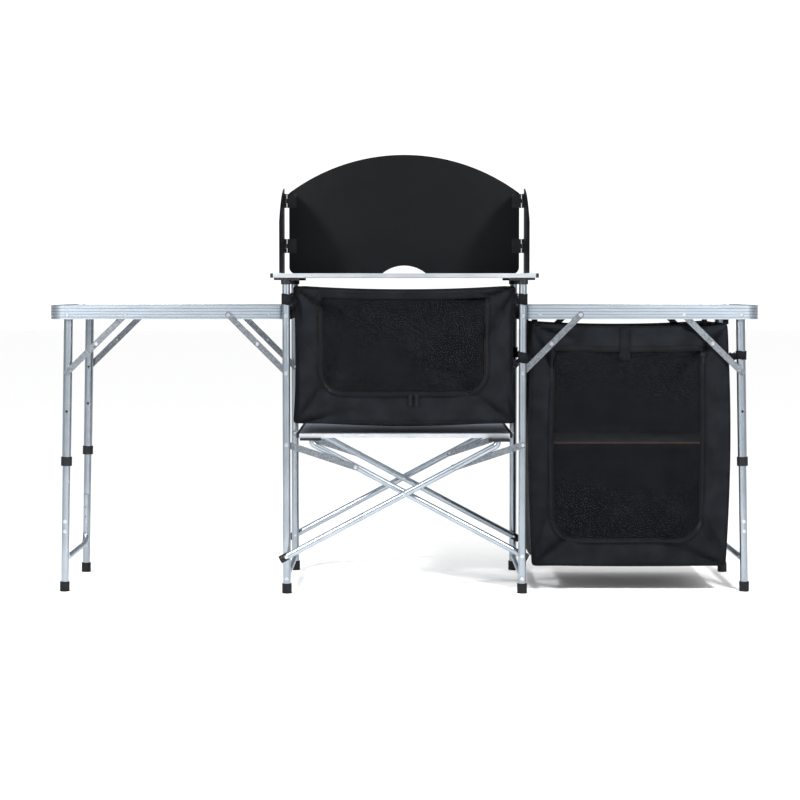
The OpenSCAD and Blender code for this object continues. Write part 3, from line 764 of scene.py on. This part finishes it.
def zip_pull(name):
    """A slider with a crown, a wire loop and a tapering pull tab."""
    low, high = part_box(name)
    mid = (low + high) / 2
    top = Vector((mid.x, mid.y, high.z - PULL_TOP))
    parts = [pull_block(top, *SLIDER), pull_block(top, *CROWN), pull_loop(top, *LOOP)]
    parts += [pull_block(top, *step) for step in TAB]
    obj = piece(name + "_metal", *merged(parts), ZIP, "zip_metal", name, False)
    soften(obj, 0.25 * MM, 2)
    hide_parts(name)
    return obj


def make_centre_cupboard():
    c = Cupboard("centre_cupboard", CENTRE_WINDOW, corner=60 * MM, sag_top=14 * MM,
                 sag_bottom=16 * MM, slack=7 * MM, belly=-7 * MM, seed=1.7)
    shell = cupboard_shell(c)
    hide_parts("centre_cupboard")
    cupboard_window(c)
    cupboard_zip(c)
    cupboard_piping(c)
    straps_low, straps_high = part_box("centre_cupboard_straps")
    z = (straps_low.z + straps_high.z) / 2
    parts = []
    for sx in (-1, 1):
        for sy in (-1, 1):
            x = sx * (straps_high.x - POST_BAND_HALF)
            y = sy * (straps_high.y - POST_BAND_HALF)
            parts.append(post_loop(x, y, z, POST_BAND_RADIUS, BAND_W))
            corner = c.hang(Vector((sx * (c.high.x - 6 * MM), sy * (c.high.y - 4 * MM),
                                    c.high.z - 30 * MM)))
            near = Vector((x - sx * 8 * MM, y - sy * 8 * MM, z))
            parts.append(tie(near, corner, 22 * MM))
    straps = piece("centre_cupboard_webbing", *merged(parts), WEBBING, "strap_webbing", CLOTH_BODY)
    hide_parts("centre_cupboard_straps")


def make_right_cupboard():
    c = Cupboard("right_cupboard", RIGHT_WINDOW, corner=62 * MM, sag_top=14 * MM,
                 sag_bottom=14 * MM, slack=9 * MM, belly=10 * MM, seed=4.1)
    shell = cupboard_shell(c)
    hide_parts("right_cupboard")
    soft = [shell, cupboard_window(c)]
    soft += cupboard_zip(c)
    soft += cupboard_piping(c)
    soft += inner_shelf()
    soft.append(right_webbing(c))
    soft.append(zip_pull("cupboard_zip_pull"))
    # the legs swing into the cupboard's place, so the real cupboard folds flat up under the table's
    # board; here each piece just gets a mesh of its own
    for obj in soft:
        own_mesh(obj)


def inner_shelf():
    """The board that stiffens the shelf inside the right cupboard."""
    low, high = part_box("right_cupboard_shelf")
    half = (high - low) / 2 - Vector((6, 6, 0)) * MM
    parts = block((low + high) / 2, Vector((half.x, 0, 0)), Vector((0, half.y, 0)),
                  Vector((0, 0, half.z)))
    shelf = piece("right_cupboard_board", *parts, BOARD_INSIDE, "cupboard_cloth", CLOTH_BODY, False)
    soften(shelf, 0.8 * MM, 3)
    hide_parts("right_cupboard_shelf")
    strip = block(Vector(((low.x + high.x) / 2, low.y + 5 * MM, (low.z + high.z) / 2)),
                  Vector((half.x, 0, 0)), Vector((0, 0.8 * MM, 0)),
                  Vector((0, 0, half.z - 0.2 * MM)))
    edge = piece("right_cupboard_board_edge", *strip, BOARD_EDGE, "cupboard_cloth",
                 CLOTH_BODY, False)
    return [shelf, edge]


def right_webbing(c):
    """Bands round the posts and legs, their ties, and the roll-up strap of the window."""
    post_low, post_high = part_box("front_right_post")
    leg_low, leg_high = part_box("right_front_upper_leg")
    straps_low, straps_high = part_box("right_cupboard_straps")
    parts = []
    for sy in (-1, 1):
        post = Vector(((post_low.x + post_high.x) / 2, -sy * (post_low.y + post_high.y) / 2,
                       straps_low.z + 13 * MM))
        leg_y = -sy * (leg_low.y + leg_high.y) / 2
        leg = Vector((straps_high.x - LEG_BAND_HALF, leg_y, straps_low.z + 18 * MM))
        parts.append(post_loop(post.x, post.y, post.z, POST_BAND_RADIUS, BAND_W))
        parts.append(post_loop(leg.x, leg.y, leg.z, LEG_BAND_RADIUS, 20 * MM))
        edge_y = sy * (c.high.y - 3 * MM)
        inner = c.hang(Vector((c.low.x + 4 * MM, edge_y, post.z)))
        outer = c.hang(Vector((c.high.x - 4 * MM, edge_y, leg.z)))
        parts.append(tie(Vector((post.x + 9 * MM, post.y - sy * 7 * MM, post.z)), inner, 20 * MM))
        parts.append(tie(Vector((leg.x - 11 * MM, leg.y, leg.z)), outer, 18 * MM))
        for x in (c.low.x + 6 * MM, c.high.x - 6 * MM):
            foot = c.hang(Vector((x, edge_y, c.high.z - 4 * MM)))
            parts.append(tie(foot, foot + Vector((0, 0, 12 * MM)), 14 * MM, 0.0))
    top = c.window[3]
    line = [c.front(ROLL_STRAP_X, top + (55 - 12 * k) * MM, 1.6 * MM) for k in range(8)]
    parts.append(ribbon(line, [OUT] * len(line), BAND_W, WEBBING_T))
    webbing = piece("right_cupboard_webbing", *merged(parts), WEBBING, "strap_webbing", CLOTH_BODY)
    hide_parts("right_cupboard_straps")
    return webbing


paint_cad_nodes()
make_camera()
make_studio()
make_centre_cupboard()
make_right_cupboard()
zip_pull("left_zip_pull")
zip_pull("right_zip_pull")
